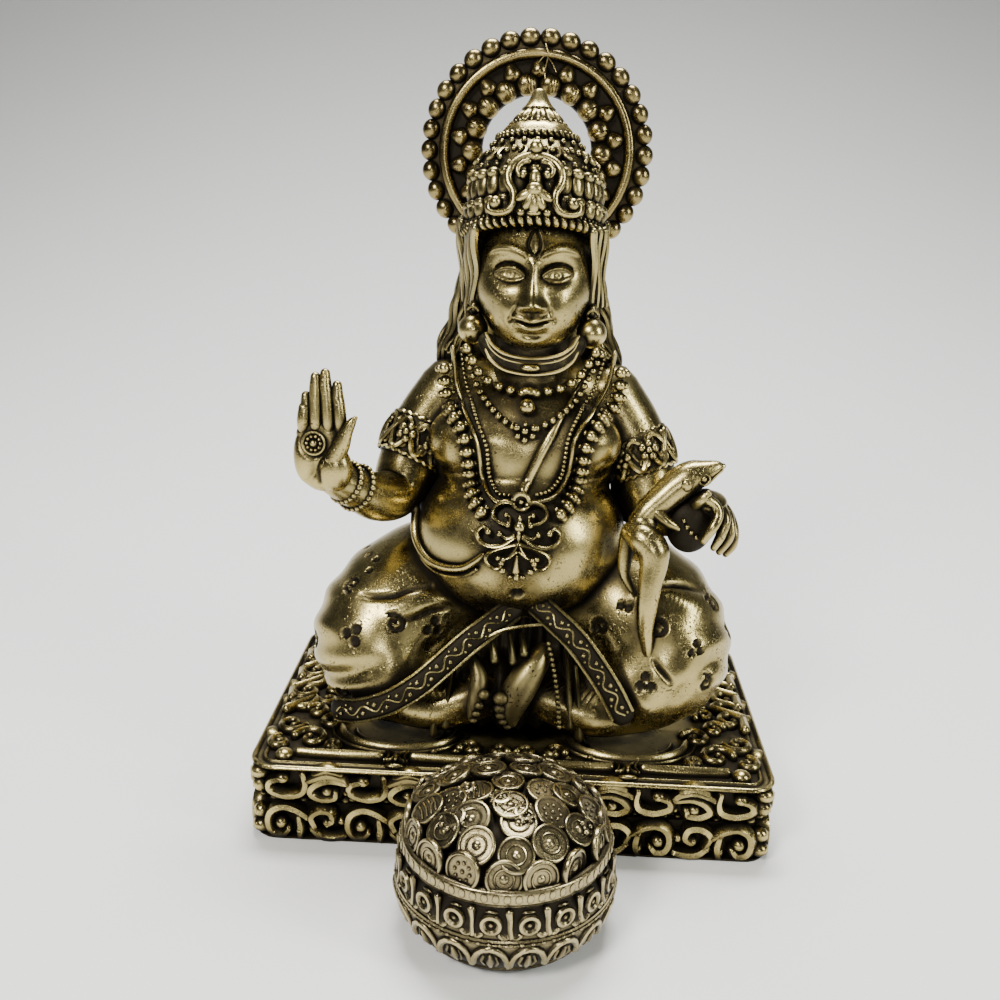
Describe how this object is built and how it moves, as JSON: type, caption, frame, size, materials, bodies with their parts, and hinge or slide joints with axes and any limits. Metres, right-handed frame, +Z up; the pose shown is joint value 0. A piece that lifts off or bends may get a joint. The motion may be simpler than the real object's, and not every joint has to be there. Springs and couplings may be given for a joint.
{
  "type": "kubera statue",
  "caption": "Small cast brass Kubera seated on a scrolled throne base, with a ring halo, a mongoose and a pot of coins.",
  "frame": {"origin": "middle of the throne base's underside", "axes": "+Z up, the figure looks along -Y, +X towards the figure's left hand"},
  "size_m": [0.0566, 0.0556, 0.0849],
  "materials": {
    "antique_brass": "antique brass, rubbed bright on the high parts and black in the recesses"
  },
  "bodies": {
    "root": {"kubera_statue": "antique_brass"}
  },
  "joints": []
}
